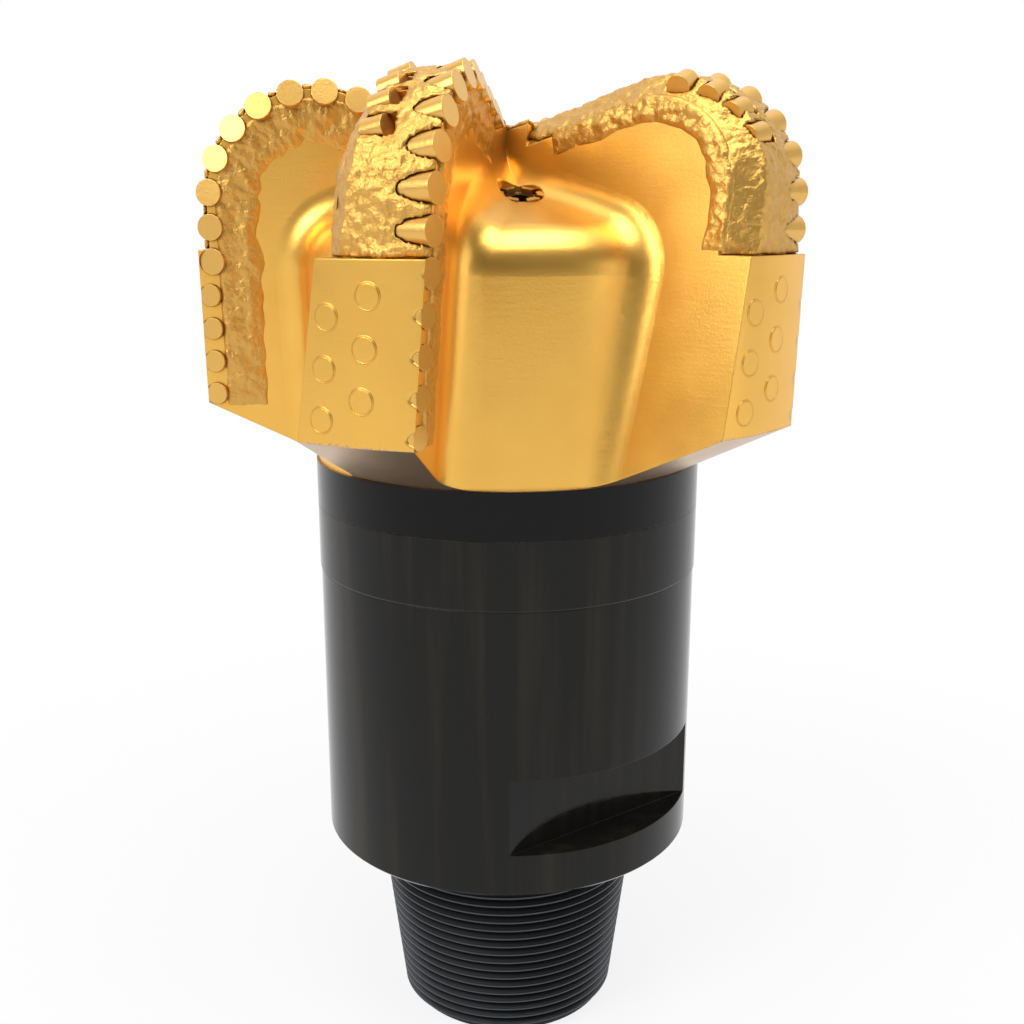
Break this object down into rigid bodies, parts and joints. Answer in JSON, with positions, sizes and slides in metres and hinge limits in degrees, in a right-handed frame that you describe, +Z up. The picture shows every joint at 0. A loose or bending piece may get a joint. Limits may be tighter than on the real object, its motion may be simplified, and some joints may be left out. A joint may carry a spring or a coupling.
{
  "type": "fixed-cutter drill bit",
  "caption": "Steel-body drill bit with raised spiral blades of round cutters, open junk slots, nozzles, a black shank with wrench slots and a tapered threaded pin.",
  "frame": {"origin": "centre of the waterway at the pin's end face", "axes": "+Z up the bit's axis, from the pin's end face to the cutting face; -X along the first blade"},
  "size_m": [0.3766, 0.3718, 0.615],
  "materials": {
    "crown_paint": "metallic gold paint",
    "shank_paint": "gloss black paint",
    "cutter": "painted over with the crown",
    "crown_paint_inserts": "painted over with the crown",
    "hardfacing": "rough weld overlay, painted",
    "carbide": "ground",
    "retainer": "painted over",
    "seal": "matt"
  },
  "bodies": {
    "root": {"crown_body": "crown_paint", "shank": "shank_paint", "girth_weld": "shank_paint", "main_cutters_1": "cutter", "gauge_cutters_1": "cutter", "backup_cutters_1": "cutter", "gauge_inserts_1": "crown_paint_inserts", "hardfacing_1": "hardfacing", "nozzle_1": "carbide", "nozzle_retainer_1": "retainer", "nozzle_seal_1": "seal", "main_cutters_2": "cutter", "gauge_cutters_2": "cutter", "backup_cutters_2": "cutter", "gauge_inserts_2": "crown_paint_inserts", "hardfacing_2": "hardfacing", "nozzle_2": "carbide", "nozzle_retainer_2": "retainer", "nozzle_seal_2": "seal", "main_cutters_3": "cutter", "gauge_cutters_3": "cutter", "backup_cutters_3": "cutter", "gauge_inserts_3": "crown_paint_inserts", "hardfacing_3": "hardfacing", "nozzle_3": "carbide", "nozzle_retainer_3": "retainer", "nozzle_seal_3": "seal", "main_cutters_4": "cutter", "gauge_cutters_4": "cutter", "backup_cutters_4": "cutter", "gauge_inserts_4": "crown_paint_inserts", "hardfacing_4": "hardfacing", "nozzle_4": "carbide", "nozzle_retainer_4": "retainer", "nozzle_seal_4": "seal", "main_cutters_5": "cutter", "gauge_cutters_5": "cutter", "backup_cutters_5": "cutter", "gauge_inserts_5": "crown_paint_inserts", "hardfacing_5": "hardfacing", "nozzle_5": "carbide", "nozzle_retainer_5": "retainer", "nozzle_seal_5": "seal"}
  },
  "joints": []
}
